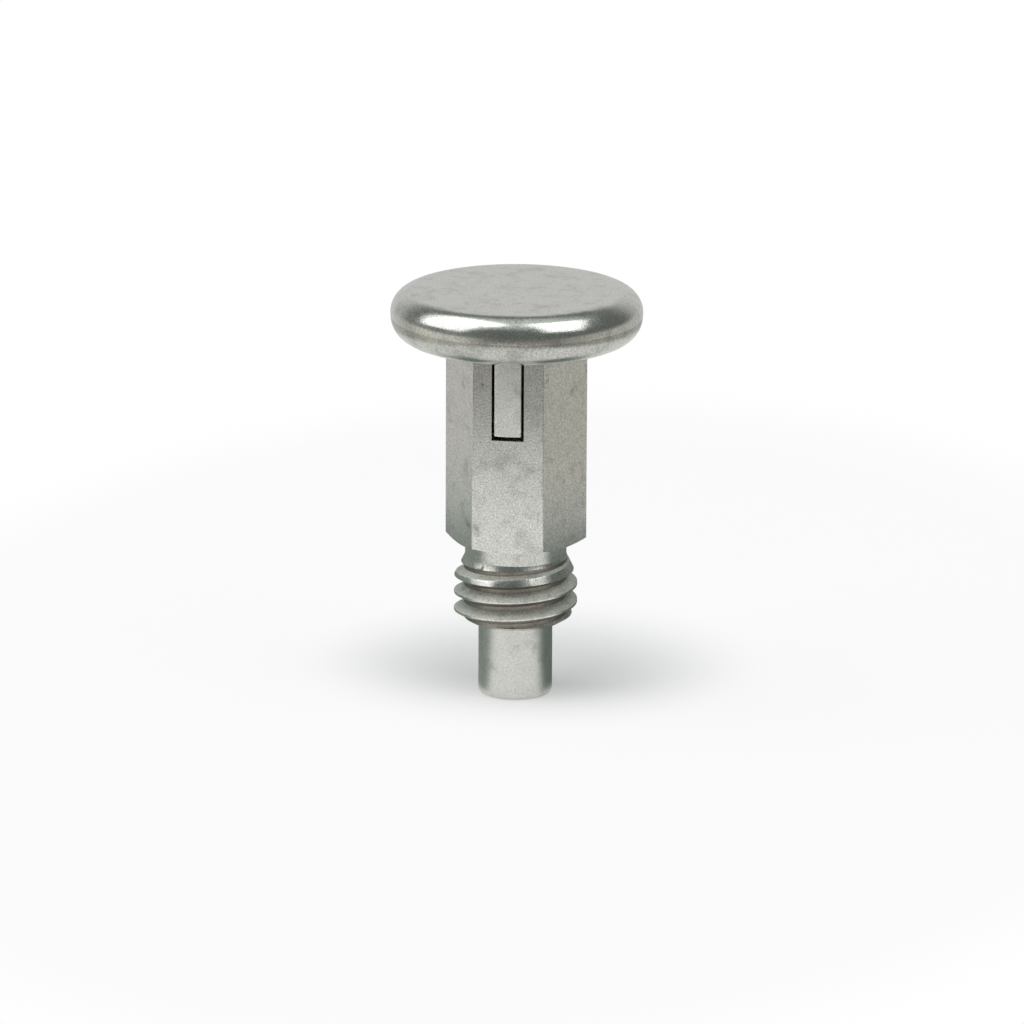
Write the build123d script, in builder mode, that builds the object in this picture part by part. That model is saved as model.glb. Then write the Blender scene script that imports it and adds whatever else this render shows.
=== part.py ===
from build123d import *
import math
import os

# An indexing plunger that can be parked with its pin drawn in. A knob and a pin slide in a
# hexagonal body with a threaded nose, and a spring inside the body pushes the pin out.
# Z runs up the axis. The origin is the centre of the body's shoulder, which seats on the
# plate that the nose screws into. All lengths are in millimetres.

# Hexagonal bar of the body
across_flats = 15.875
hex_length = 26.0
hex_edge_radius = 0.25
shoulder_inset = 0.29
shoulder_chamfer_height = 0.52

# Slot across the body's top, which the knob's key drops into
slot_width = 4.15
slot_depth = 11.0

# Threaded nose below the shoulder, with a plain neck under it
nose_length = 10.7
neck_length = 2.0
neck_undercut = 0.11
runout_length = 2.9
thread_diameter = 15.875
thread_pitch = 2.309
thread_flank_angle = 30.0
groove_lead_in = 3.27
nose_chamfer_length = 1.2

# Locking pin, its collar and the rod above it
pin_diameter = 9.525
pin_reach = 9.75
pin_corner_radius = 0.7
land_setback = 0.15
land_clearance = 0.05
collar_thickness = 1.8
collar_clearance = 0.06
rod_diameter = 7.94
rod_end_chamfer = 0.4

# Bores in the body, sized from the pin that slides in them
mouth_gap = 0.24
mouth_radius = 0.3
nose_face_width = 0.65
nose_wall = 3.3
collar_seat_width = 0.5

# Guide bush pressed into the top of the spring chamber
bush_length = 3.6
rod_clearance = 0.05
bush_edge_chamfer = 0.3

# Return spring
wire_diameter = 0.9
spring_turns = 6.3
spring_end_gap = 0.02

# Knob, a turned disc with a low boss. Its rim has a tighter round above than below.
knob_diameter = 32.3
knob_thickness = 6.35
rim_top_radius = 2.85
rim_side_height = 0.4
rim_underside_cut = 0.15
boss_diameter = 16.4
boss_height = 0.4
boss_gap = 0.15

# Key milled from the knob's hub to drop in the slot, and the bore for the rod
key_side_gap = 0.325
key_end_gap = 0.55
key_corner_radius = 0.3
recess_gap = 0.63
recess_depth = 1.2
crown_thickness = 1.7
rod_end_gap = 0.2

# Places along the axis that follow from these
nose_face_z = -nose_length
chamber_floor_z = nose_face_z + nose_wall
collar_top_z = chamber_floor_z + collar_thickness
slot_floor_z = hex_length - slot_depth
bush_bottom_z = slot_floor_z - bush_length
pin_tip_z = nose_face_z - pin_reach
boss_face_z = hex_length + boss_gap
underside_z = boss_face_z + boss_height
knob_top_z = underside_z + knob_thickness
knob_bore_end_z = knob_top_z - crown_thickness
rod_end_z = knob_bore_end_z - rod_end_gap
key_end_z = slot_floor_z + key_end_gap

# Radii that follow from these
hex_radius = across_flats / 2
corner_radius = hex_radius / math.cos(math.radians(30))
shoulder_radius = hex_radius - shoulder_inset
pin_radius = pin_diameter / 2
nose_bore_radius = pin_radius + mouth_gap
land_radius = nose_bore_radius - land_clearance
nose_face_radius = nose_bore_radius + mouth_radius + nose_face_width
chamber_radius = nose_bore_radius + collar_seat_width
collar_radius = chamber_radius - collar_clearance
rod_radius = rod_diameter / 2
coil_radius = (rod_radius + chamber_radius) / 2
knob_radius = knob_diameter / 2
boss_radius = boss_diameter / 2
key_thickness = slot_width - 2 * key_side_gap
recess_radius = rod_radius + recess_gap

# Thread form, with the flats at its crest and root as shares of the pitch
thread_radius = thread_diameter / 2
flank_slope = math.tan(math.radians(thread_flank_angle))
crest_flat = thread_pitch / 8
root_flat = 0.225 * thread_pitch
thread_depth = (thread_pitch - crest_flat - root_flat) / 2 / flank_slope
thread_root_radius = thread_radius - thread_depth
neck_radius = thread_root_radius - neck_undercut


# The thread's groove, a truncated V swept along a helix and cut from the nose below
groove_overcut = crest_flat / 4 / flank_slope
groove_height = thread_depth + groove_overcut
groove_mouth_half = root_flat / 2 + groove_height * flank_slope
groove_start_z = nose_face_z - groove_lead_in
groove_shoulder_gap = 0.1
groove_end_z = -groove_mouth_half - groove_shoulder_gap

with BuildPart() as groove:
    with BuildLine() as groove_path:
        Helix(
            pitch=thread_pitch,
            height=groove_end_z - groove_start_z,
            radius=thread_root_radius,
            center=(0, 0, groove_start_z),
        )
    groove_plane = Plane(
        origin=groove_path.line @ 0,
        x_dir=(1, 0, 0),
        z_dir=groove_path.line % 0,
    )
    with BuildSketch(groove_plane):
        with BuildLine():
            Polyline(
                (0, -root_flat / 2),
                (groove_height, -groove_mouth_half),
                (groove_height, groove_mouth_half),
                (0, root_flat / 2),
                close=True,
            )
        make_face()
    sweep(path=groove_path.line, is_frenet=True)


# The body: a round nose stock with the groove cut in it and the hexagonal bar above, both
# turned to one profile of neck, run-out and chamfers, then the cross slot and stepped bore
runout_slope = runout_length / (thread_radius - neck_radius)
nose_chamfer_slope = nose_chamfer_length / (thread_radius - nose_face_radius)
turning_overcut = 0.6
turning_radius = thread_radius + turning_overcut
runout_end_z = -neck_length - runout_length - turning_overcut * runout_slope
chamfer_end_z = nose_face_z + nose_chamfer_length + turning_overcut * nose_chamfer_slope

with BuildPart() as hex_body:
    with BuildSketch(Plane.XY.offset(nose_face_z)):
        Circle(thread_radius)
    extrude(amount=nose_length)
    add(groove.part, mode=Mode.SUBTRACT)
    with BuildSketch():
        hexagon = RegularPolygon(radius=hex_radius, side_count=6, major_radius=False)
        fillet(hexagon.vertices(), hex_edge_radius)
    extrude(amount=hex_length)
    with BuildSketch(Plane.XZ):
        with BuildLine():
            Polyline(
                (0, nose_face_z),
                (nose_face_radius, nose_face_z),
                (turning_radius, chamfer_end_z),
                (turning_radius, runout_end_z),
                (neck_radius, -neck_length),
                (neck_radius, 0),
                (shoulder_radius, 0),
                (corner_radius, shoulder_chamfer_height),
                (corner_radius, hex_length),
                (0, hex_length),
                close=True,
            )
        make_face()
    revolve(axis=Axis.Z, mode=Mode.INTERSECT)
    with BuildSketch(Plane.XY.offset(slot_floor_z)):
        Rectangle(slot_width, 3 * across_flats)
    extrude(amount=slot_depth, mode=Mode.SUBTRACT)
    with Locations((0, 0, hex_length)):
        CounterBoreHole(
            radius=nose_bore_radius,
            counter_bore_radius=chamber_radius,
            counter_bore_depth=hex_length - chamber_floor_z,
            depth=hex_length + nose_length,
        )
    nose_face = hex_body.faces().filter_by(Plane.XY).sort_by(Axis.Z)[0]
    mouth_edges = nose_face.edges().filter_by(GeomType.CIRCLE)
    fillet(mouth_edges.sort_by(SortBy.RADIUS)[0], mouth_radius)


# The guide bush, which closes the spring chamber and carries the rod
with BuildPart() as guide_bush:
    with BuildSketch(Plane.XY.offset(bush_bottom_z)):
        Circle(chamber_radius)
        Circle(rod_radius + rod_clearance, mode=Mode.SUBTRACT)
    extrude(amount=bush_length)
    bush_top = guide_bush.faces().sort_by(Axis.Z)[-1]
    chamfer(bush_top.edges().sort_by(SortBy.RADIUS)[0], bush_edge_chamfer)


# The locking pin, turned in one piece with its collar and rod. The land under the collar
# slides in the nose bore, and the thinner locating end begins just inside the nose.
with BuildPart() as locking_pin:
    with BuildSketch(Plane.XZ):
        with BuildLine():
            Polyline(
                (0, pin_tip_z),
                (pin_radius, pin_tip_z),
                (pin_radius, nose_face_z + land_setback),
                (land_radius, nose_face_z + land_setback),
                (land_radius, chamber_floor_z),
                (collar_radius, chamber_floor_z),
                (collar_radius, collar_top_z),
                (rod_radius, collar_top_z),
                (rod_radius, rod_end_z),
                (0, rod_end_z),
                close=True,
            )
        make_face()
    revolve(axis=Axis.Z)
    tip_face = locking_pin.faces().sort_by(Axis.Z)[0]
    fillet(tip_face.edges(), pin_corner_radius)
    rod_end = locking_pin.faces().sort_by(Axis.Z)[-1]
    chamfer(rod_end.edges(), rod_end_chamfer)


# The return spring, a round wire coiled between the collar and the bush, its ends ground flat
spring_bottom_z = collar_top_z + spring_end_gap
spring_length = bush_bottom_z - spring_bottom_z

with BuildPart() as return_spring:
    with BuildLine() as coil:
        Helix(
            pitch=spring_length / spring_turns,
            height=spring_length,
            radius=coil_radius,
            center=(0, 0, spring_bottom_z),
        )
    with BuildSketch(Plane(origin=coil.line @ 0, z_dir=coil.line % 0)):
        Circle(wire_diameter / 2)
    sweep(path=coil.line, is_frenet=True)
    split(bisect_by=Plane.XY.offset(spring_bottom_z), keep=Keep.TOP)
    split(bisect_by=Plane.XY.offset(bush_bottom_z), keep=Keep.BOTTOM)


# The knob: a disc with a round rim that ends in a crease at the flat underside, a low round
# boss, and a hub milled away on two sides to leave the key. The hub's bore is wider than the
# key, so the key stands as two tabs.
rim_drop = knob_thickness - rim_top_radius - rim_side_height
rim_low_radius = rim_drop + rim_underside_cut
rim_low_centre = knob_radius - rim_low_radius
rim_low_angle = math.degrees(math.asin(rim_drop / rim_low_radius))
rim_side_z = underside_z + rim_drop
underside_radius = rim_low_centre + math.sqrt(rim_low_radius**2 - rim_drop**2)

with BuildPart() as knob:
    with BuildSketch(Plane.XZ):
        with BuildLine():
            Polyline(
                (knob_radius - rim_top_radius, knob_top_z),
                (0, knob_top_z),
                (0, boss_face_z),
                (boss_radius, boss_face_z),
                (boss_radius, underside_z),
                (underside_radius, underside_z),
            )
            CenterArc(
                (rim_low_centre, rim_side_z),
                rim_low_radius,
                -rim_low_angle,
                rim_low_angle,
            )
            Line((knob_radius, rim_side_z), (knob_radius, knob_top_z - rim_top_radius))
            CenterArc(
                (knob_radius - rim_top_radius, knob_top_z - rim_top_radius),
                rim_top_radius,
                0,
                90,
            )
        make_face()
    revolve(axis=Axis.Z)
    with BuildSketch(Plane.XY.offset(boss_face_z)):
        Rectangle(key_thickness, 2 * boss_diameter)
        Circle(boss_radius, mode=Mode.INTERSECT)
    extrude(amount=key_end_z - boss_face_z)
    key_end = knob.faces().sort_by(Axis.Z)[0]
    key_sides = knob.edges().filter_by(Axis.Z).filter_by(GeomType.LINE)
    fillet(key_end.edges() + key_sides, key_corner_radius)
    with Locations(Plane.XY.offset(key_end_z).rotated((180, 0, 0))):
        CounterBoreHole(
            radius=rod_radius,
            counter_bore_radius=recess_radius,
            counter_bore_depth=boss_face_z + recess_depth - key_end_z,
            depth=knob_bore_end_z - key_end_z,
        )


hex_body.part.label = "hex_body"
guide_bush.part.label = "guide_bush"
locking_pin.part.label = "locking_pin"
return_spring.part.label = "return_spring"
knob.part.label = "knob"

os.makedirs("parts", exist_ok=True)
export_step(hex_body.part, "parts/hex_body.step")
export_step(guide_bush.part, "parts/guide_bush.step")
export_step(locking_pin.part, "parts/locking_pin.step")
export_step(return_spring.part, "parts/return_spring.step")
export_step(knob.part, "parts/knob.step")
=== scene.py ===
"""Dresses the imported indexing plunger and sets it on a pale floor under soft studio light.

The plunger is zinc plated steel. A knob and a locking pin slide in a hexagonal body with a
threaded nose, and a spring inside pushes the pin out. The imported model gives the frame, in
metres. Sizes in this script are in millimetres and angles in degrees unless their name says
otherwise.
"""

import logging
import math
from dataclasses import dataclass
from enum import Enum

import bmesh
import bpy
from bmesh.types import BMEdge, BMesh, BMFace, BMVert
from bpy.types import Material, Node, NodeSocket, NodeTree, Object, World
from mathutils import Matrix, Vector


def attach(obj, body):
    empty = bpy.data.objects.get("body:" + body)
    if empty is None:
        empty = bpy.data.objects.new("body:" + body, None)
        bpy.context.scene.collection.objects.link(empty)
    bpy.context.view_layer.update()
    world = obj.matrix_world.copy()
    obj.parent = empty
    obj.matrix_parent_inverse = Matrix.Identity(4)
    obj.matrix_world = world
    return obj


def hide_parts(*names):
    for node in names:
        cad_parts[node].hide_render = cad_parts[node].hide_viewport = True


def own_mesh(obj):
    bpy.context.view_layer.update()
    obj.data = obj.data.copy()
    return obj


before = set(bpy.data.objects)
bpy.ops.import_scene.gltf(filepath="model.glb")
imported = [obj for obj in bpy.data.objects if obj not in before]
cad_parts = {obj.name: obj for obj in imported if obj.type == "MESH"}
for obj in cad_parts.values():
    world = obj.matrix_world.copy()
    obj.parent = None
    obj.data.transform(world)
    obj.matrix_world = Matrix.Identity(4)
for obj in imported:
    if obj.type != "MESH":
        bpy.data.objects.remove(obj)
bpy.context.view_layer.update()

log = logging.getLogger("plunger")

MM = 0.001
Z_AXIS = (0.0, 0.0, 1.0)
Y_AXIS = (0.0, 1.0, 0.0)
WHITE = (1.0, 1.0, 1.0, 1.0)

# Points closer than this are one point, on a finished skin and on a drawn outline or a cut
SKIN_MERGE_M = 1e-6
LINE_MERGE_M = 1e-7

# Height of the floor that the pin's tip stands on, and direction of the camera round the axis
FLOOR_Z = -20.45
VIEW_AZIMUTH = 8.0


class Body(Enum):
    """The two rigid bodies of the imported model."""

    HOUSING = "housing"
    PLUNGER = "plunger"


class Lay(Enum):
    """Direction of the marks that the tool left, as the stretch of the noise that draws them."""

    # Rings round the axis, which wander a little as they go round
    TURNED = (0.02, 0.02, 0.0)
    # Long lines along the bar
    DRAWN = (1.0, 1.0, 0.03)
    # Shorter lines the way the cutter went, up and down the slot
    MILLED = (1.0, 1.0, 0.05)


def linear(hex_colour: str) -> tuple[float, float, float, float]:
    """Turns an sRGB hex colour into the linear colour that a node takes.

    Args:
        hex_colour: Six hex digits, with or without a leading mark.

    Returns:
        Red, green, blue and an alpha of 1, in linear light.
    """
    digits = hex_colour.lstrip("#")
    channels = [int(digits[i : i + 2], 16) / 255 for i in (0, 2, 4)]
    light = [c / 12.92 if c <= 0.04045 else ((c + 0.055) / 1.055) ** 2.4 for c in channels]
    return (light[0], light[1], light[2], 1.0)


def add_node(tree: NodeTree, kind: str, inputs: dict | None = None, **settings: object) -> Node:
    """Adds a node, sets its own settings, and fills or links its inputs.

    Args:
        tree: The node tree that gets the node.
        kind: The node's type name.
        inputs: Value or output socket for each input, by the input's name or number.
        **settings: Attributes of the node itself.

    Returns:
        The new node.
    """
    node = tree.nodes.new(kind)
    for name, value in settings.items():
        setattr(node, name, value)
    for key, value in (inputs or {}).items():
        if isinstance(value, NodeSocket):
            tree.links.new(value, node.inputs[key])
        else:
            node.inputs[key].default_value = value
    return node


def empty_tree(owner: Material | World) -> NodeTree:
    """Turns on the nodes of a material or world and clears them.

    Args:
        owner: The new material or world.

    Returns:
        Its empty node tree.
    """
    owner.use_nodes = True
    owner.node_tree.nodes.clear()
    return owner.node_tree


def per_metre(size_mm: float) -> float:
    """Gives the texture scale whose features are about that many millimetres wide."""
    return 1 / (size_mm * MM)


@dataclass(frozen=True)
class ZincPlate:
    """Zinc plated steel with a thin clear passivation.

    The plating is a satin mirror: it shows the studio softly, its fine grain breaks up the
    edges of bright reflections, and thin greenish, bluish and brown films lie on it in
    patches. Each pattern has the width of its features in millimetres.
    """

    name: str
    plate: str = "#dcdcd6"
    film: str = "#a0a69e"
    film_share: float = 0.45
    film_mm: float = 3.0
    film_range: tuple[float, float] = (0.62, 0.82)
    film_lowering: float = 0.3
    stain: str = "#70675c"
    stain_share: float = 0.3
    stain_mm: float = 2.2
    stain_seed: float = 3.7
    stain_range: tuple[float, float] = (0.56, 0.74)
    pit: str = "#4a4a44"
    pit_share: float = 0.3
    pit_mm: float = 0.8
    pit_reach: float = 0.2
    pit_edge: float = 0.1
    roughness: float = 0.26
    roughness_spread: float = 0.12
    roughness_range: tuple[float, float] = (0.3, 0.7)
    anisotropy: float = 0.0
    # Real plating grain is some hundredths of a millimetre wide, less than a pixel, so it is
    # drawn about ten times as coarse and keeps only a few micrometres of height.
    grain_mm: float = 0.24
    grain_height_mm: float = 0.009
    fleck_depth: float = 0.4
    fleck_darker: float = 0.6
    fleck_lighter: float = 0.4
    fleck_range: tuple[float, float] = (0.35, 0.65)
    # Real tool marks lie about 0.05 apart, so they are drawn three times as coarse too.
    lay: Lay = Lay.TURNED
    lay_mm: float = 0.15
    lay_height_mm: float = 0.002

    def lay_coordinates(self, tree: NodeTree, place: NodeSocket) -> NodeSocket:
        """Stretches the coordinates so that a noise on them runs along the tool marks.

        Args:
            tree: The material's node tree.
            place: Object coordinates.

        Returns:
            The stretched coordinates.
        """
        stretched = add_node(
            tree, "ShaderNodeVectorMath", {0: place, 1: self.lay.value}, operation="MULTIPLY"
        ).outputs[0]
        if self.lay is not Lay.TURNED:
            return stretched
        flat = add_node(
            tree, "ShaderNodeVectorMath", {0: place, 1: (1, 1, 0)}, operation="MULTIPLY"
        )
        radius = add_node(tree, "ShaderNodeVectorMath", {0: flat.outputs[0]}, operation="LENGTH")
        height = add_node(tree, "ShaderNodeSeparateXYZ", {0: place})
        ring = add_node(
            tree, "ShaderNodeCombineXYZ", {0: radius.outputs["Value"], 1: height.outputs[2]}
        )
        return add_node(tree, "ShaderNodeVectorMath", {0: ring.outputs[0], 1: stretched}).outputs[0]

    def colour(
        self, tree: NodeTree, place: NodeSocket, smudges: NodeSocket, grain: NodeSocket
    ) -> NodeSocket:
        """Lays film, stains, flecks and pits over the plating's own colour.

        Args:
            tree: The material's node tree.
            place: Object coordinates.
            smudges: Noise that is high where stains lie.
            grain: Noise of the plating's grain.

        Returns:
            The colour.
        """
        patches = add_node(
            tree,
            "ShaderNodeTexNoise",
            {"Vector": place, "Scale": per_metre(self.film_mm), "Detail": 7.0, "Roughness": 0.65},
        ).outputs[0]
        film_range = [edge - self.film_lowering * self.film_share for edge in self.film_range]
        coat = linear(self.plate)
        for value, (start, full), share, shade in (
            (patches, film_range, self.film_share, self.film),
            (smudges, self.stain_range, self.stain_share, self.stain),
        ):
            mask = add_node(
                tree,
                "ShaderNodeMapRange",
                {"Value": value, "From Min": start, "From Max": full, "To Max": share},
                interpolation_type="SMOOTHSTEP",
            )
            coat = add_node(
                tree,
                "ShaderNodeMix",
                {0: mask.outputs[0], 6: coat, 7: linear(shade)},
                data_type="RGBA",
            ).outputs[2]
        fleck = add_node(
            tree,
            "ShaderNodeMapRange",
            {
                "Value": grain,
                "From Min": self.fleck_range[0],
                "From Max": self.fleck_range[1],
                "To Min": 1 - self.fleck_darker * self.fleck_depth,
                "To Max": 1 + self.fleck_lighter * self.fleck_depth,
            },
        )
        flecked = add_node(
            tree, "ShaderNodeVectorMath", {0: coat, "Scale": fleck.outputs[0]}, operation="SCALE"
        )
        cells = add_node(
            tree,
            "ShaderNodeTexVoronoi",
            {"Vector": place, "Scale": per_metre(self.pit_mm), "Randomness": 1.0},
        ).outputs
        pit_size = add_node(
            tree,
            "ShaderNodeMapRange",
            {"Value": cells["Color"], "From Min": 1 - self.pit_share, "To Max": self.pit_reach},
        )
        depth = add_node(
            tree,
            "ShaderNodeMath",
            {0: pit_size.outputs[0], 1: cells["Distance"]},
            operation="SUBTRACT",
        )
        pit_mask = add_node(
            tree, "ShaderNodeMapRange", {"Value": depth.outputs[0], "From Max": self.pit_edge}
        )
        return add_node(
            tree,
            "ShaderNodeMix",
            {0: pit_mask.outputs[0], 6: flecked.outputs[0], 7: linear(self.pit)},
            data_type="RGBA",
        ).outputs[2]

    def relief(self, tree: NodeTree, place: NodeSocket, grain: NodeSocket) -> NodeSocket:
        """Raises the plating's grain on top of the tool marks.

        Args:
            tree: The material's node tree.
            place: Object coordinates.
            grain: Noise of the plating's grain.

        Returns:
            The bumped normal.
        """
        marks = add_node(
            tree,
            "ShaderNodeTexNoise",
            {
                "Vector": self.lay_coordinates(tree, place),
                "Scale": per_metre(self.lay_mm),
                "Detail": 3.0,
                "Roughness": 0.6,
            },
        )
        marked = add_node(
            tree,
            "ShaderNodeBump",
            {"Height": marks.outputs[0], "Distance": self.lay_height_mm * MM, "Strength": 1.0},
        )
        return add_node(
            tree,
            "ShaderNodeBump",
            {
                "Height": grain,
                "Distance": self.grain_height_mm * MM,
                "Strength": 1.0,
                "Normal": marked.outputs[0],
            },
        ).outputs[0]

    def material(self) -> Material:
        """Builds the material.

        Returns:
            The material, named for the finish.
        """
        made = bpy.data.materials.new(self.name)
        tree = empty_tree(made)
        place = add_node(tree, "ShaderNodeTexCoord").outputs["Object"]
        smudges = add_node(
            tree,
            "ShaderNodeTexNoise",
            {
                "Vector": place,
                "W": self.stain_seed,
                "Scale": per_metre(self.stain_mm),
                "Detail": 5.0,
                "Roughness": 0.7,
            },
            noise_dimensions="4D",
        ).outputs[0]
        grain = add_node(
            tree,
            "ShaderNodeTexNoise",
            {"Vector": place, "Scale": per_metre(self.grain_mm), "Detail": 3.0, "Roughness": 0.7},
        ).outputs[0]
        roughness = add_node(
            tree,
            "ShaderNodeMapRange",
            {
                "Value": smudges,
                "From Min": self.roughness_range[0],
                "From Max": self.roughness_range[1],
                "To Min": self.roughness - self.roughness_spread / 2,
                "To Max": self.roughness + self.roughness_spread / 2,
            },
        )
        shader = add_node(
            tree,
            "ShaderNodeBsdfPrincipled",
            {
                "Base Color": self.colour(tree, place, smudges, grain),
                "Metallic": 1.0,
                "Roughness": roughness.outputs[0],
                "Anisotropic": self.anisotropy,
                "Normal": self.relief(tree, place, grain),
            },
        )
        if self.anisotropy:
            around = add_node(tree, "ShaderNodeTangent", direction_type="RADIAL", axis="Z")
            tree.links.new(around.outputs[0], shader.inputs["Tangent"])
        add_node(tree, "ShaderNodeOutputMaterial", {"Surface": shader.outputs[0]})
        return made


# Turning and tumbling leave the knob a soft satin mirror with faint cloudy patches.
TUMBLED_PLATE = ZincPlate("zinc plated steel, turned and tumbled", roughness=0.19, stain_share=0.4)
# The rim's lower half faces down and gets a darker plate, painted shade, with brown speckles.
LOWER_RIM_PAINTED_SHADE = ZincPlate(
    "zinc plated steel, lower rim with painted shade",
    plate="#c2c3bc",
    film="#8c918a",
    film_share=0.5,
    stain="#6a6054",
    stain_share=0.45,
    roughness=0.24,
    fleck_depth=0.5,
)
# Facing leaves fine rings, which draw each light out into a fan, under a bluish passivation.
TURNED_UNDERSIDE = ZincPlate(
    "zinc plated steel, faced with fine rings", plate="#b3c6cf", anisotropy=0.6, roughness=0.3
)
# Milling leaves the key duller than the bar beside it, so it looks evenly pale.
MILLED_KEY = ZincPlate(
    "zinc plated steel, milled key", lay=Lay.MILLED, roughness=0.38, grain_height_mm=0.006
)
# Drawing leaves flats that mirror whole bands of the room, with flecks, stains and long lines.
DRAWN_BAR = ZincPlate(
    "zinc plated steel, drawn bar",
    lay=Lay.DRAWN,
    stain_share=0.5,
    fleck_depth=0.5,
    roughness=0.2,
    grain_height_mm=0.006,
)
# Turning leaves neck and shoulder a blurred mirror with a light and a dark side.
TURNED_NOSE = ZincPlate("zinc plated steel, turned nose", roughness=0.26, grain_height_mm=0.006)
# Torn by the cutting tool, the upper flanks scatter light; their paler plate is painted light.
THREAD_FLANK_PAINTED_LIGHT = ZincPlate(
    "zinc plated steel, cut thread with painted light", plate="#e6e6e0", roughness=0.7, grain_height_mm=0.006
)
# Painted shade: the thread's roots and the flanks that face down get a dull, dark brown plate.
THREAD_PAINTED_SHADE = ZincPlate(
    "zinc plated steel, painted shade in the thread's roots",
    plate="#9b968c",
    film="#6c6d67",
    stain="#3f362e",
    stain_share=0.85,
    roughness=0.5,
    grain_height_mm=0.006,
)
# Milling leaves the slot's walls dull, so they show no clear reflection.
MILLED_SLOT = ZincPlate("zinc plated steel, milled slot", lay=Lay.MILLED, roughness=0.4)
# Fine turning leaves the pin an even satin with few flecks.
TURNED_PIN = ZincPlate(
    "zinc plated steel, turned pin", fleck_depth=0.22, roughness=0.36, grain_height_mm=0.005
)
# Bare turned steel is darker and yellower than the plating.
TURNED_STEEL = ZincPlate("plain steel, turned bush", plate="#9a9a98", film="#77756f", roughness=0.3)
# Drawn spring wire is dark grey with a dull gleam.
SPRING_WIRE = ZincPlate("spring steel, drawn wire", plate="#7d7d7c", film="#55534e", roughness=0.35)


class Outline:
    """Half of a turned part's section, drawn with a pen in the plane of X and Z."""

    def __init__(self, radius: float, height: float) -> None:
        """Puts the pen down.

        Args:
            radius: Distance from the axis.
            height: Place along the axis.
        """
        self.mesh = bmesh.new()
        self.pen = self.mesh.verts.new((radius * MM, 0, height * MM))

    def through(self, *points: tuple[float, float]) -> "Outline":
        """Draws straight lines from point to point.

        Args:
            *points: Distance from the axis and place along it of each line's end.

        Returns:
            The outline itself.
        """
        for radius, height in points:
            drawn = bmesh.ops.extrude_vert_indiv(self.mesh, verts=[self.pen])
            self.pen = drawn["verts"][0]
            self.pen.co = (radius * MM, 0, height * MM)
        return self

    def arc(self, centre: tuple[float, float], degrees: float, steps: int) -> "Outline":
        """Draws an arc from the pen.

        Args:
            centre: Distance from the axis and place along it of the arc's centre.
            degrees: Angle of the arc, positive from the axis towards the part's top.
            steps: Number of straight pieces in the arc.

        Returns:
            The outline itself.
        """
        turned = bmesh.ops.spin(
            self.mesh,
            geom=[self.pen],
            cent=(centre[0] * MM, 0, centre[1] * MM),
            axis=Y_AXIS,
            angle=-math.radians(degrees),
            steps=steps,
            use_duplicate=False,
        )
        self.pen = next(e for e in turned["geom_last"] if isinstance(e, BMVert))
        return self

    def turn(self, steps: int) -> BMesh:
        """Turns the outline round the axis into a closed skin.

        Args:
            steps: Number of sides of each circle.

        Returns:
            The mesh of the turned part, its poles and seams closed and faces outward.
        """
        bmesh.ops.remove_doubles(self.mesh, verts=self.mesh.verts, dist=LINE_MERGE_M)
        bmesh.ops.spin(
            self.mesh,
            geom=self.mesh.verts[:] + self.mesh.edges[:],
            cent=(0, 0, 0),
            axis=Z_AXIS,
            angle=math.tau,
            steps=steps,
            use_merge=True,
            use_duplicate=False,
        )
        bmesh.ops.remove_doubles(self.mesh, verts=self.mesh.verts, dist=SKIN_MERGE_M)
        bmesh.ops.recalc_face_normals(self.mesh, faces=self.mesh.faces)
        return self.mesh


def round_edges(mesh: BMesh, edges: list[BMEdge], size: float, segments: int) -> None:
    """Breaks edges with a round bevel.

    Args:
        mesh: The mesh that the edges belong to.
        edges: The edges.
        size: Offset of the bevel from each edge.
        segments: Number of strips in the round.
    """
    bmesh.ops.bevel(
        mesh,
        geom=edges,
        offset=size * MM,
        offset_type="OFFSET",
        affect="EDGES",
        segments=segments,
        profile=0.5,
        material=-1,
        clamp_overlap=True,
    )


def place_mesh(name: str, mesh: BMesh) -> Object:
    """Puts a bmesh into an object at the origin, unturned.

    Args:
        name: Name of the object and its mesh.
        mesh: The finished bmesh, which is freed.

    Returns:
        The new object.
    """
    data = bpy.data.meshes.new(name)
    mesh.to_mesh(data)
    mesh.free()
    placed = bpy.data.objects.new(name, data)
    bpy.context.scene.collection.objects.link(placed)
    return placed


def make_piece(
    name: str, mesh: BMesh, finishes: list[ZincPlate], crease_degrees: float = 30.0
) -> Object:
    """Turns a bmesh into an object that is shaded smooth up to its creases.

    Args:
        name: Name of the piece.
        mesh: The finished bmesh, which is freed.
        finishes: Finishes in the order of the faces' material numbers.
        crease_degrees: Angle between faces above which an edge stays sharp.

    Returns:
        The piece's object.
    """
    for edge in mesh.edges:
        edge.smooth = edge.is_manifold and edge.calc_face_angle() < math.radians(crease_degrees)
    for face in mesh.faces:
        face.smooth = True
    piece = place_mesh(name, mesh)
    for finish in finishes:
        piece.data.materials.append(finish.material())
    return piece


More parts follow.
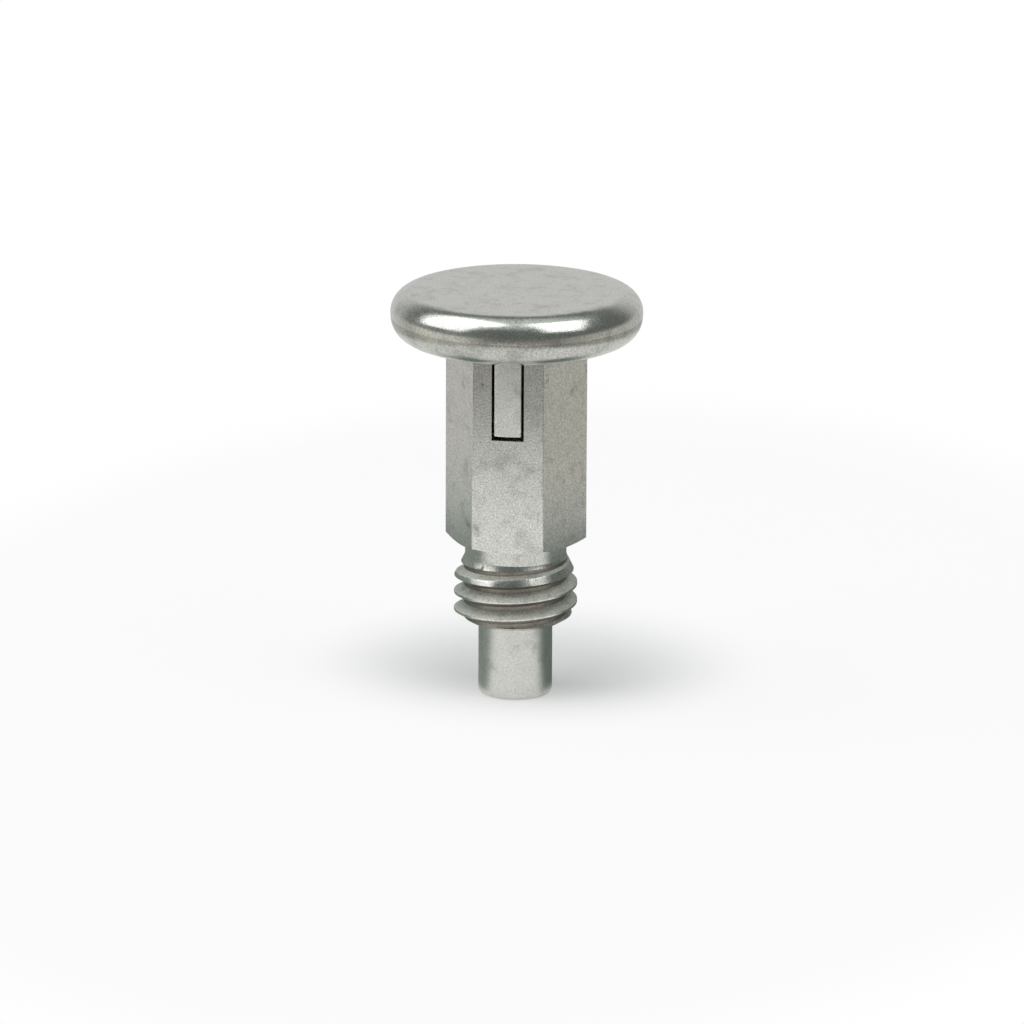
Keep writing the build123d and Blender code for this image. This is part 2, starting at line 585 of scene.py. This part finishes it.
@dataclass(frozen=True)
class Knob:
    """The knob: a disc with a round rim, a low boss and a key of two tabs."""

    radius: float = 16.15
    top_z: float = 32.9
    top_ring: float = 0.5
    underside_z: float = 26.55
    boss_radius: float = 8.2
    boss_z: float = 26.15
    boss_break: float = 0.1
    rim_top_radius: float = 2.85
    rim_low_radius: float = 3.25
    rim_low_z: float = 29.65
    crease_width: float = 0.06
    crease_height: float = 0.03
    crease_reach: float = 0.02
    recess_radius: float = 4.6
    recess_end_z: float = 27.35
    bore_radius: float = 3.97
    bore_end_z: float = 31.2
    key_thickness: float = 3.5
    key_end_z: float = 15.55
    key_edge_radius: float = 0.3
    root_overlap: float = 0.3
    flat_degrees: float = 0.5
    near: float = 0.02

    def disc(self) -> BMesh:
        """Turns the disc with its boss, recess and blind bore.

        Returns:
            The disc's mesh.
        """
        drop = self.rim_low_z - self.underside_z
        low_angle = math.degrees(math.asin(drop / self.rim_low_radius))
        low_centre = self.radius - self.rim_low_radius
        crease_radius = low_centre + math.sqrt(self.rim_low_radius**2 - drop**2)
        top_centre = self.radius - self.rim_top_radius
        top_centre_z = self.top_z - self.rim_top_radius
        outline = Outline(0, self.bore_end_z).through(
            (self.bore_radius, self.bore_end_z),
            (self.bore_radius, self.recess_end_z),
            (self.recess_radius, self.recess_end_z),
            (self.recess_radius, self.boss_z),
            (self.boss_radius - self.boss_break, self.boss_z),
            (self.boss_radius, self.boss_z + self.boss_break),
            (self.boss_radius, self.underside_z),
            (crease_radius - self.crease_width, self.underside_z),
            (crease_radius, self.underside_z + self.crease_height),
        )
        outline.arc((low_centre, self.rim_low_z), low_angle, steps=18)
        outline.through((self.radius, top_centre_z))
        outline.arc((top_centre, top_centre_z), 90, steps=20)
        outline.through((top_centre - self.top_ring, self.top_z), (0, self.top_z))
        return outline.turn(steps=256)

    def key(self) -> BMesh:
        """Cuts the key's two tabs from a ring as wide as the boss.

        Returns:
            The tabs' mesh.
        """
        tabs = bmesh.new()
        for radius in (self.boss_radius, self.recess_radius):
            bmesh.ops.create_circle(tabs, segments=160, radius=radius * MM)
        bmesh.ops.bridge_loops(tabs, edges=tabs.edges)
        for side in (-1, 1):
            bmesh.ops.bisect_plane(
                tabs,
                geom=tabs.verts[:] + tabs.edges[:] + tabs.faces[:],
                dist=LINE_MERGE_M,
                plane_co=(side * self.key_thickness / 2 * MM, 0, 0),
                plane_no=(side, 0, 0),
                clear_outer=True,
            )
        bmesh.ops.translate(tabs, verts=tabs.verts, vec=(0, 0, self.key_end_z * MM))
        raised = bmesh.ops.extrude_face_region(tabs, geom=tabs.faces, use_keep_orig=True)
        lifted = [e for e in raised["geom"] if isinstance(e, BMVert)]
        height = self.boss_z + self.root_overlap - self.key_end_z
        bmesh.ops.translate(tabs, verts=lifted, vec=(0, 0, height * MM))
        flat = math.radians(self.flat_degrees)
        bmesh.ops.dissolve_limit(tabs, angle_limit=flat, verts=tabs.verts, edges=tabs.edges)
        bmesh.ops.recalc_face_normals(tabs, faces=tabs.faces)
        rounded = [edge for edge in tabs.edges if self.is_rounded(edge)]
        round_edges(tabs, rounded, self.key_edge_radius, segments=5)
        return tabs

    def is_rounded(self, edge: BMEdge) -> bool:
        """Tells whether an edge of the key is one of its rounded outer edges.

        Args:
            edge: An edge of the tabs.

        Returns:
            True for the end's edges and the upright outer corners.
        """
        reach = min(math.hypot(v.co.x, v.co.y) for v in edge.verts) / MM
        low = all(v.co.z < (self.key_end_z + self.near) * MM for v in edge.verts)
        upright = abs(edge.verts[0].co.z - edge.verts[1].co.z) > MM
        outer = reach > self.boss_radius - self.near
        flank_x = (self.key_thickness / 2 - self.near) * MM
        corner = all(abs(v.co.x) > flank_x for v in edge.verts)
        inner = reach < self.recess_radius + self.near and not corner
        return (low and not inner) or (upright and outer and corner)

    def build(self) -> Object:
        """Builds the knob as one piece and sorts its faces by finish.

        Returns:
            The knob's object.
        """
        finishes = [TUMBLED_PLATE, TURNED_UNDERSIDE, MILLED_KEY, LOWER_RIM_PAINTED_SHADE]
        mesh = self.disc()
        for face in mesh.faces:
            height = face.calc_center_median().z / MM
            # The rim's lower half gets a painted shade
            finish = LOWER_RIM_PAINTED_SHADE if height < self.rim_low_z else TUMBLED_PLATE
            if height < self.underside_z + self.crease_reach:
                finish = TURNED_UNDERSIDE
            face.material_index = finishes.index(finish)
        tabs = self.key()
        for face in tabs.faces:
            face.material_index = finishes.index(MILLED_KEY)
        cut = bpy.data.meshes.new("key")
        tabs.to_mesh(cut)
        tabs.free()
        mesh.from_mesh(cut)
        bpy.data.meshes.remove(cut)
        return make_piece("knob_turned", mesh, finishes)

    def dress(self, piece: Object) -> None:
        """Puts the knob on the plunger in place of its solid.

        Args:
            piece: The knob's object.
        """
        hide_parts("knob")
        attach(piece, Body.PLUNGER.value)


@dataclass(frozen=True)
class HexBody:
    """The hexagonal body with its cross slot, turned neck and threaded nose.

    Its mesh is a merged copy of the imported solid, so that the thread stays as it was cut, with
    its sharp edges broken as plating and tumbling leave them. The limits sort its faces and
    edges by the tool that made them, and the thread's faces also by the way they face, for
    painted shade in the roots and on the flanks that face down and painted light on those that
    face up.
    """

    edge_round: float = 0.09
    crest_round: float = 0.12
    flat_degrees: float = 0.4
    crease_degrees: float = 20.0
    crest_limit_radius: float = 7.8
    crest_limit_z: float = -2.5
    thread_limit_z: float = -2.4
    root_radius: float = 6.6375
    root_reach: float = 0.05
    turned_limit_z: float = 0.01
    bore_limit_radius: float = 5.6
    slot_limit_x: float = 2.095
    slot_limit_z: float = 14.98
    down_flank_normal: float = -0.6
    up_flank_normal: float = 0.7
    flat_normal: float = 0.9

    def is_crest(self, edge: BMEdge) -> bool:
        """Tells whether an edge runs along the thread's crest.

        Args:
            edge: An edge of the body.

        Returns:
            True for an edge below the neck and at the thread's full radius.
        """
        return all(
            v.co.z < self.crest_limit_z * MM
            and math.hypot(v.co.x, v.co.y) > self.crest_limit_radius * MM
            for v in edge.verts
        )

    def finish_of(self, face: BMFace) -> ZincPlate:
        """Picks the finish of a face by the tool that made it, and in the thread by which way it
        faces.

        Args:
            face: A face of the body.

        Returns:
            The finish. The body's top is milled; the thread's roots and the flanks that face down
            get painted shade, and the flanks that face up get painted light.
        """
        centre = face.calc_center_median()
        radius = math.hypot(centre.x, centre.y) / MM
        height = centre.z / MM
        upward = face.normal.z
        in_thread = height < self.thread_limit_z and radius > self.root_radius - self.root_reach
        at_root = radius < self.root_radius + self.root_reach
        # Painted shade in the thread's roots and on the flanks that face down
        if in_thread and (at_root or upward < self.down_flank_normal):
            return THREAD_PAINTED_SHADE
        # Painted light on the thread's flanks that face up
        if in_thread and upward > self.up_flank_normal:
            return THREAD_FLANK_PAINTED_LIGHT
        if height < self.turned_limit_z or radius < self.bore_limit_radius:
            return TURNED_NOSE
        in_slot = abs(centre.x) < self.slot_limit_x * MM and height > self.slot_limit_z
        slot_wall = in_slot and abs(face.normal.x) > self.flat_normal
        return MILLED_SLOT if slot_wall or upward > self.flat_normal else DRAWN_BAR

    def build(self) -> Object:
        """Builds the body.

        Returns:
            The body's object.
        """
        finishes = [DRAWN_BAR, TURNED_NOSE, MILLED_SLOT, THREAD_PAINTED_SHADE, THREAD_FLANK_PAINTED_LIGHT]
        mesh = bmesh.new()
        mesh.from_mesh(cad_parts["hex_body"].data)
        bmesh.ops.remove_doubles(mesh, verts=mesh.verts, dist=SKIN_MERGE_M)
        flat = math.radians(self.flat_degrees)
        bmesh.ops.dissolve_limit(mesh, angle_limit=flat, verts=mesh.verts, edges=mesh.edges)
        for face in mesh.faces:
            face.material_index = finishes.index(self.finish_of(face))
        crease = math.radians(self.crease_degrees)
        sharp = [e for e in mesh.edges if e.is_manifold and e.calc_face_angle() > crease]
        crests = [e for e in sharp if self.is_crest(e)]
        others = [e for e in sharp if not self.is_crest(e)]
        round_edges(mesh, crests, self.crest_round, segments=3)
        others = [e for e in others if e.is_valid]
        round_edges(mesh, others, self.edge_round, segments=2)
        piece = make_piece("body_milled", mesh, finishes, self.crease_degrees)
        weighted = piece.modifiers.new("weighted_normals", "WEIGHTED_NORMAL")
        weighted.keep_sharp = True
        return piece

    def dress(self, piece: Object) -> None:
        """Puts the body on the housing in place of its solid.

        Args:
            piece: The body's object.
        """
        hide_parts("hex_body")
        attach(piece, Body.HOUSING.value)


@dataclass(frozen=True)
class LockingPin:
    """The locking pin, turned in one piece with its guided land, collar and rod."""

    tip_z: float = -20.45
    radius: float = 4.7625
    tip_round: float = 0.7
    tip_ring: float = 0.6
    land_z: float = -10.55
    land_radius: float = 4.9525
    collar_z: float = -7.4
    collar_radius: float = 5.4425
    collar_top_z: float = -5.6
    rod_radius: float = 3.97
    rod_end_z: float = 31.0
    rod_chamfer: float = 0.4
    edge_break: float = 0.08

    def build(self) -> Object:
        """Builds the pin.

        Returns:
            The pin's object.
        """
        tip_centre = self.radius - self.tip_round
        outline = Outline(0, self.tip_z)
        outline.through((tip_centre - self.tip_ring, self.tip_z), (tip_centre, self.tip_z))
        outline.arc((tip_centre, self.tip_z + self.tip_round), 90, steps=12)
        outline.through(
            (self.radius, self.land_z),
            (self.land_radius - self.edge_break, self.land_z),
            (self.land_radius, self.land_z + self.edge_break),
            (self.land_radius, self.collar_z),
            (self.collar_radius - self.edge_break, self.collar_z),
            (self.collar_radius, self.collar_z + self.edge_break),
            (self.collar_radius, self.collar_top_z - self.edge_break),
            (self.collar_radius - self.edge_break, self.collar_top_z),
            (self.rod_radius, self.collar_top_z),
            (self.rod_radius, self.rod_end_z - self.rod_chamfer),
            (self.rod_radius - self.rod_chamfer, self.rod_end_z),
            (0, self.rod_end_z),
        )
        return make_piece("pin_turned", outline.turn(steps=160), [TURNED_PIN])

    def dress(self, piece: Object) -> None:
        """Puts the pin on the plunger in place of its solid.

        Args:
            piece: The pin's object.
        """
        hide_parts("locking_pin")
        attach(piece, Body.PLUNGER.value)


@dataclass(frozen=True)
class GuideBush:
    """The bush pressed into the chamber under the slot, which carries the rod."""

    low_z: float = 11.4
    high_z: float = 15.0
    outer_radius: float = 5.5025
    bore_radius: float = 4.02
    bore_chamfer: float = 0.3
    edge_break: float = 0.1

    def build(self) -> Object:
        """Builds the bush.

        Returns:
            The bush's object.
        """
        outline = Outline(self.bore_radius, self.low_z).through(
            (self.outer_radius - self.edge_break, self.low_z),
            (self.outer_radius, self.low_z + self.edge_break),
            (self.outer_radius, self.high_z),
            (self.bore_radius + self.bore_chamfer, self.high_z),
            (self.bore_radius, self.high_z - self.bore_chamfer),
            (self.bore_radius, self.low_z),
        )
        return make_piece("bush_turned", outline.turn(steps=96), [TURNED_STEEL])

    def dress(self, piece: Object) -> None:
        """Puts the bush in the housing in place of its solid.

        Args:
            piece: The bush's object.
        """
        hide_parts("guide_bush")
        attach(piece, Body.HOUSING.value)


@dataclass(frozen=True)
class ReturnSpring:
    """The return spring, with closed and ground ends."""

    low_z: float = -5.58
    high_z: float = 11.4
    coil_radius: float = 4.736
    wire_diameter: float = 0.9
    active_turns: float = 5.0
    end_turns: float = 1.1
    steps_per_turn: int = 40
    wire_sides: int = 14
    solid_height: float = 5.97
    ground_merge_m: float = 1e-8

    def coil(self, mesh: BMesh, ring: list, turns: float, rise: float) -> list:
        """Winds the wire on from its last ring.

        Args:
            mesh: The spring's mesh.
            ring: Vertices and edges of the wire's open end.
            turns: Number of turns to wind.
            rise: How far these turns climb.

        Returns:
            The vertices and edges of the new open end.
        """
        steps = round(turns * self.steps_per_turn)
        wound = bmesh.ops.spin(
            mesh,
            geom=ring,
            cent=(0, 0, 0),
            axis=Z_AXIS,
            dvec=(0, 0, rise * MM / steps),
            angle=turns * math.tau,
            steps=steps,
            use_duplicate=False,
        )
        return wound["geom_last"]

    def build(self) -> Object:
        """Winds the spring and grinds its ends flat.

        Returns:
            The spring's object.
        """
        mesh = bmesh.new()
        bmesh.ops.create_circle(
            mesh,
            cap_ends=True,
            segments=self.wire_sides,
            radius=self.wire_diameter / 2 * MM,
            matrix=Matrix.Translation((self.coil_radius * MM, 0, self.low_z * MM))
            @ Matrix.Rotation(math.pi / 2, 4, "X"),
        )
        closed_rise = self.end_turns * self.wire_diameter
        open_rise = self.high_z - self.low_z - 2 * closed_rise
        end = self.coil(mesh, mesh.verts[:] + mesh.edges[:], self.end_turns, closed_rise)
        end = self.coil(mesh, end, self.active_turns, open_rise)
        end = self.coil(mesh, end, self.end_turns, closed_rise)
        last_ring = [edge for edge in end if isinstance(edge, BMEdge)]
        bmesh.ops.edgeloop_fill(mesh, edges=last_ring)
        for height, way in ((self.low_z, -1), (self.high_z, 1)):
            bmesh.ops.bisect_plane(
                mesh,
                geom=mesh.verts[:] + mesh.edges[:] + mesh.faces[:],
                dist=self.ground_merge_m,
                plane_co=(0, 0, height * MM),
                plane_no=(0, 0, way),
                clear_outer=True,
            )
        bmesh.ops.holes_fill(mesh, edges=[e for e in mesh.edges if e.is_boundary], sides=0)
        bmesh.ops.recalc_face_normals(mesh, faces=mesh.faces)
        return make_piece("spring_coiled", mesh, [SPRING_WIRE], crease_degrees=40)

    def dress(self, piece: Object) -> None:
        """Puts the spring in the housing in place of its solid, with a mesh of its own.

        Args:
            piece: The spring's object.
        """
        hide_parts("return_spring")
        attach(piece, Body.HOUSING.value)
        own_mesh(piece)


@dataclass(frozen=True)
class View:
    """The photograph's viewpoint, as angles and as pixels of its square frame."""

    azimuth: float = VIEW_AZIMUTH
    elevation: float = 15.6
    roll: float = 0.25
    focal_px: float = 8500.0
    image_px: float = 1024.0
    sensor: float = 36.0
    distance_m: float = 1.093
    nearest_m: float = 0.01
    origin_px: tuple[float, float] = (515.8, 538.0)

    def camera(self) -> Object:
        """Makes the camera.

        Returns:
            The camera's object.
        """
        azimuth = math.radians(self.azimuth)
        elevation = math.radians(self.elevation)
        roll = math.radians(self.roll)
        forward = Vector(
            (
                -math.sin(azimuth) * math.cos(elevation),
                math.cos(azimuth) * math.cos(elevation),
                -math.sin(elevation),
            )
        )
        level = forward.cross(Vector(Z_AXIS)).normalized()
        upright = level.cross(forward)
        right = level * math.cos(roll) + upright * math.sin(roll)
        up = right.cross(forward)
        aside = (self.origin_px[0] - self.image_px / 2) / self.focal_px
        below = (self.origin_px[1] - self.image_px / 2) / self.focal_px
        towards_origin = (forward + right * aside - up * below).normalized()
        lens = bpy.data.cameras.new("camera")
        lens.sensor_width = self.sensor
        lens.lens = self.focal_px / self.image_px * self.sensor
        lens.clip_start = self.nearest_m
        camera = bpy.data.objects.new("camera", lens)
        camera.matrix_world = Matrix(
            (
                (right.x, up.x, -forward.x, -towards_origin.x * self.distance_m),
                (right.y, up.y, -forward.y, -towards_origin.y * self.distance_m),
                (right.z, up.z, -forward.z, -towards_origin.z * self.distance_m),
                (0, 0, 0, 1),
            )
        )
        bpy.context.scene.collection.objects.link(camera)
        bpy.context.scene.camera = camera
        return camera


@dataclass(frozen=True)
class Softbox:
    """A softbox that hangs over the plunger and faces it.

    Its azimuth is 0 towards the camera's side, its lean turns it in its own plane, and a
    radiance of 1 is white.
    """

    name: str
    azimuth: float
    elevation: float
    size_m: tuple[float, float]
    lean: float
    radiance: float = 1.5
    distance_m: float = 0.7

    def hang(self) -> Object:
        """Hangs the softbox.

        Returns:
            The lamp's object.
        """
        turn = math.radians(self.azimuth)
        rise = math.radians(self.elevation)
        place = self.distance_m * Vector(
            (math.sin(turn) * math.cos(rise), -math.cos(turn) * math.cos(rise), math.sin(rise))
        )
        lamp = bpy.data.lights.new(self.name, "AREA")
        lamp.shape = "RECTANGLE"
        lamp.size, lamp.size_y = self.size_m
        lamp.energy = self.radiance * math.pi * self.size_m[0] * self.size_m[1]
        box = bpy.data.objects.new(self.name, lamp)
        facing = place.to_track_quat("Z", "Y").to_matrix().to_4x4()
        leaning = Matrix.Rotation(math.radians(self.lean), 4, "Z")
        box.matrix_world = Matrix.Translation(place) @ facing @ leaning
        box.visible_camera = False
        bpy.context.scene.collection.objects.link(box)
        return box


@dataclass(frozen=True)
class Room:
    """The world: a pale backdrop behind the plunger and a dim room around it.

    The room is darkest level with the plunger and brightens towards the ceiling, which gives
    the metal its dark and light bands. To the camera all of it is white, and metal and glass
    see part of that white in the direction of the backdrop. A level of 1 is white.
    """

    wall_tint: tuple[float, float, float] = (0.95, 1.04, 1.0)
    ground_tint: tuple[float, float, float] = (1.02, 1.0, 0.93)
    wall_level: float = 0.15
    ceiling_level: float = 0.64
    left_level: float = 0.24
    ground_level: float = 0.21
    ground_side_level: float = 0.5
    table_level: float = 0.58
    table_aim: tuple[float, float, float] = (-0.87, -0.5, 0.0)
    backdrop_level: float = 0.55
    backdrop_glow: float = 0.25
    backdrop_aim: tuple[float, float, float] = (-0.14, 0.99, 0.0)

    def surroundings(self) -> None:
        """Makes the world and gives it to the scene."""
        world = bpy.data.worlds.new("studio room")
        bpy.context.scene.world = world
        tree = empty_tree(world)
        direction = add_node(tree, "ShaderNodeTexCoord").outputs["Generated"]
        across, depth, height = add_node(tree, "ShaderNodeSeparateXYZ", {0: direction}).outputs
        to_table, to_backdrop = (
            add_node(
                tree, "ShaderNodeVectorMath", {0: direction, 1: aim}, operation="DOT_PRODUCT"
            ).outputs["Value"]
            for aim in (self.table_aim, self.backdrop_aim)
        )
        seen = add_node(tree, "ShaderNodeLightPath").outputs
        levels = {
            "camera": seen["Is Camera Ray"],
            "mirror": seen["Is Glossy Ray"],
            "glass": seen["Is Transmission Ray"],
            "glow": self.backdrop_glow,
        }
        # For each step: the direction that it follows, where on it the step begins and ends,
        # and its level at either end
        steps = {
            "ceiling": (height, 0.7, 0.99, self.wall_level, self.ceiling_level),
            "left": (across, -0.2, -0.9, 0.0, self.left_level - self.wall_level),
            "left, low": (height, 0.6, 0.2, 0.0, 1.0),
            "ground": (depth, -1.0, 0.2, self.ground_level, self.ground_side_level),
            "table": (to_table, 0.7, 1.0, 0.0, self.table_level - self.ground_level),
            "below": (height, 0.08, -0.1, 0.0, 1.0),
            "backdrop": (to_backdrop, 0.4, 1.0, 0.0, 1.0),
            "backdrop, low": (height, 0.4, 0.75, 1.0, 0.0),
        }
        for name, (value, begin, end, low, high) in steps.items():
            levels[name] = add_node(
                tree,
                "ShaderNodeMapRange",
                {"Value": value, "From Min": begin, "From Max": end, "To Min": low, "To Max": high},
                interpolation_type="SMOOTHSTEP",
            ).outputs[0]
        for name, first, operation, second in (
            ("left", "left", "MULTIPLY", "left, low"),
            ("walls", "ceiling", "ADD", "left"),
            ("ground", "ground", "ADD", "table"),
            ("backdrop", "backdrop", "MULTIPLY", "backdrop, low"),
            ("mirrored", "mirror", "MAXIMUM", "glass"),
            ("mirrored", "mirrored", "MULTIPLY", "backdrop"),
            ("mirrored", "mirrored", "MULTIPLY", "glow"),
            ("white", "camera", "MAXIMUM", "mirrored"),
        ):
            levels[name] = add_node(
                tree, "ShaderNodeMath", {0: levels[first], 1: levels[second]}, operation=operation
            ).outputs[0]
        walls, ground = (
            add_node(
                tree, "ShaderNodeVectorMath", {0: tint, "Scale": levels[name]}, operation="SCALE"
            ).outputs[0]
            for name, tint in (("walls", self.wall_tint), ("ground", self.ground_tint))
        )
        pale = [self.backdrop_level] * 3 + [1.0]
        colour = walls
        for name, over in (("below", ground), ("backdrop", pale), ("white", WHITE)):
            colour = add_node(
                tree, "ShaderNodeMix", {0: levels[name], 6: colour, 7: over}, data_type="RGBA"
            ).outputs[2]
        light = add_node(tree, "ShaderNodeBackground", {"Color": colour, "Strength": 1.0})
        add_node(tree, "ShaderNodeOutputWorld", {"Surface": light.outputs[0]})


@dataclass(frozen=True)
class Floor:
    """The floor, a pale sheet that fades into the white surroundings.

    It is narrower across than in depth, and it glows for the camera, mirrors and glass, but
    only a little close to the pin, where its shadow stays. The weaker glow there, centred a
    little behind the pin, paints a shadow round the pin's foot.
    """

    radius_m: float = 0.6
    sides: int = 96
    paper: str = "#fafafa"
    paper_glow: float = 0.85
    solid_m: float = 0.122
    end_m: float = 0.162
    narrowing: float = 1.6
    shadow_glow: float = 0.05
    shadow_start_m: float = 0.004
    shadow_end_m: float = 0.032
    shadow_depth_m: float = 0.013

    def material(self) -> Material:
        """Builds the paper, which is matt, so that it shows soft shadows and no reflection.

        Returns:
            The floor's material.
        """
        paper = bpy.data.materials.new("matt white paper")
        tree = empty_tree(paper)
        place = add_node(tree, "ShaderNodeTexCoord").outputs["Object"]
        seen = add_node(tree, "ShaderNodeLightPath").outputs
        shares = {
            "camera": seen["Is Camera Ray"],
            "mirror": seen["Is Glossy Ray"],
            "glass": seen["Is Transmission Ray"],
            "back": add_node(tree, "ShaderNodeNewGeometry").outputs["Backfacing"],
        }
        # For each fade: how it counts width and depth, its centre, the distances from there
        # at which it begins and ends, and its share at either end
        fades = {
            "clear": ((self.narrowing, 1, 0), (0, 0, 0), (self.solid_m, self.end_m), (0.0, 1.0)),
            # A painted shadow: the glow dips round the pin's foot, centred a little behind it
            "glow": (
                (1, 1, 0),
                (0, self.shadow_depth_m, 0),
                (self.shadow_start_m, self.shadow_end_m),
                (self.shadow_glow, self.paper_glow),
            ),
        }
        for name, (weights, centre, (begin, end), (low, high)) in fades.items():
            flat = add_node(
                tree, "ShaderNodeVectorMath", {0: place, 1: weights}, operation="MULTIPLY"
            )
            reach = add_node(
                tree, "ShaderNodeVectorMath", {0: flat.outputs[0], 1: centre}, operation="DISTANCE"
            ).outputs["Value"]
            shares[name] = add_node(
                tree,
                "ShaderNodeMapRange",
                {"Value": reach, "From Min": begin, "From Max": end, "To Min": low, "To Max": high},
                interpolation_type="SMOOTHSTEP",
            ).outputs[0]
        for name, first, operation, second in (
            ("clear", "clear", "MAXIMUM", "back"),
            ("seen", "camera", "MAXIMUM", "mirror"),
            ("seen", "seen", "MAXIMUM", "glass"),
            ("glow", "seen", "MULTIPLY", "glow"),
        ):
            shares[name] = add_node(
                tree, "ShaderNodeMath", {0: shares[first], 1: shares[second]}, operation=operation
            ).outputs[0]
        matt = add_node(tree, "ShaderNodeBsdfDiffuse", {"Color": linear(self.paper)})
        white = add_node(tree, "ShaderNodeEmission", {"Color": WHITE, "Strength": 1.0})
        clear = add_node(tree, "ShaderNodeBsdfTransparent")
        surface = matt.outputs[0]
        for name, over in (("glow", white), ("clear", clear)):
            surface = add_node(
                tree, "ShaderNodeMixShader", {0: shares[name], 1: surface, 2: over.outputs[0]}
            ).outputs[0]
        add_node(tree, "ShaderNodeOutputMaterial", {"Surface": surface})
        return paper

    def lay(self) -> Object:
        """Lays the floor.

        Returns:
            The floor's object.
        """
        mesh = bmesh.new()
        bmesh.ops.create_circle(mesh, cap_ends=True, segments=self.sides, radius=self.radius_m)
        bmesh.ops.translate(mesh, verts=mesh.verts, vec=(0, 0, FLOOR_Z * MM))
        floor = place_mesh("floor", mesh)
        floor.data.materials.append(self.material())
        return floor


@dataclass(frozen=True)
class DarkCard:
    """A dark card bent round the plunger, where only reflections show it.

    The card leans outwards and thins out towards its upper edge and both its ends, so that
    the metal shows it without a line. Its spans give the directions of its lower and its
    upper corners, 0 towards the camera.
    """

    name: str
    foot_span: tuple[float, float]
    top_span: tuple[float, float]
    top_z: float
    colour: str
    foot_z: float = FLOOR_Z + 0.1
    foot_reach: float = 6.5
    top_reach: float = 24.0
    bends: int = 32
    front_fade: float = 30.0
    rear_clear: float = 176.0
    rear_full: float = 156.0
    top_fade: float = 14.0

    def material(self) -> Material:
        """Builds the card's glossless dim glow, so that the metal shows an even dark patch, a
        painted reflection.

        Returns:
            The card's material.
        """
        reflection_card = bpy.data.materials.new("dim card for painted reflections")
        tree = empty_tree(reflection_card)
        place = add_node(tree, "ShaderNodeTexCoord").outputs["Object"]
        across, depth, height = add_node(tree, "ShaderNodeSeparateXYZ", {0: place}).outputs
        nearness = add_node(tree, "ShaderNodeMath", {0: depth, 1: -1.0}, operation="MULTIPLY")
        bearing = add_node(
            tree, "ShaderNodeMath", {0: across, 1: nearness.outputs[0]}, operation="ARCTAN2"
        )
        apart = add_node(
            tree, "ShaderNodeMath", {0: bearing.outputs[0]}, operation="ABSOLUTE"
        ).outputs[0]
        front = min(abs(edge + VIEW_AZIMUTH) for edge in self.foot_span)
        share = 1.0
        for value, clear_at, full_at in (
            (apart, math.radians(front), math.radians(front + self.front_fade)),
            (apart, math.radians(self.rear_clear), math.radians(self.rear_full)),
            (height, self.top_z * MM, (self.top_z - self.top_fade) * MM),
        ):
            fade = add_node(
                tree,
                "ShaderNodeMapRange",
                {"Value": value, "From Min": clear_at, "From Max": full_at},
                interpolation_type="SMOOTHSTEP",
            )
            share = add_node(
                tree, "ShaderNodeMath", {0: share, 1: fade.outputs[0]}, operation="MULTIPLY"
            ).outputs[0]
        # A dim glow that only mirrors see: a painted dark reflection in the metal
        dim = add_node(tree, "ShaderNodeEmission", {"Color": linear(self.colour), "Strength": 1.0})
        clear = add_node(tree, "ShaderNodeBsdfTransparent")
        reflection_surface = add_node(
            tree, "ShaderNodeMixShader", {0: share, 1: clear.outputs[0], 2: dim.outputs[0]}
        )
        add_node(tree, "ShaderNodeOutputMaterial", {"Surface": reflection_surface.outputs[0]})
        return reflection_card

    def bend(self) -> Object:
        """Bends the card round the plunger.

        Returns:
            The card's object.
        """
        mesh = bmesh.new()
        bmesh.ops.create_grid(mesh, x_segments=self.bends, y_segments=1, size=1.0)
        for vert in mesh.verts:
            low = vert.co.y < 0
            span = self.foot_span if low else self.top_span
            share = (vert.co.x + 1) / 2
            angle = math.radians(span[0] + (span[1] - span[0]) * share + VIEW_AZIMUTH)
            reach = self.foot_reach if low else self.top_reach
            height = self.foot_z if low else self.top_z
            vert.co = MM * Vector((reach * math.sin(angle), -reach * math.cos(angle), height))
        card = place_mesh(self.name, mesh)
        card.data.materials.append(self.material())
        card.visible_camera = False
        card.visible_shadow = False
        card.visible_diffuse = False
        return card


@dataclass(frozen=True)
class Studio:
    """Camera, surroundings, softboxes, floor and dark cards."""

    view: View = View()
    room: Room = Room()
    floor: Floor = Floor()
    softboxes: tuple[Softbox, ...] = (
        Softbox("softbox_left", azimuth=-75, elevation=51, size_m=(0.62, 0.8), lean=13),
        Softbox("softbox_right", azimuth=67, elevation=54, size_m=(0.43, 0.62), lean=-26),
    )
    cards: tuple[DarkCard, ...] = (
        DarkCard("card_left", (-184, -48), (-184, -52), top_z=9.0, colour="#89938d"),
        DarkCard("card_right", (46, 168), (58, 168), top_z=7.0, colour="#6c7570"),
    )

    def build(self) -> None:
        """Sets up the whole studio."""
        self.view.camera()
        self.room.surroundings()
        for softbox in self.softboxes:
            softbox.hang()
        self.floor.lay()
        for card in self.cards:
            card.bend()
        bpy.context.scene.view_settings.view_transform = "Standard"


def main() -> None:
    """Builds the studio and each piece in order, and notes each one."""
    logging.basicConfig(level=logging.INFO, format="%(message)s")
    Studio().build()
    for part in (HexBody(), GuideBush(), ReturnSpring(), LockingPin(), Knob()):
        piece = part.build()
        part.dress(piece)
        log.info("%s: %d faces", piece.name, len(piece.data.polygons))


if __name__ == "__main__":
    main()
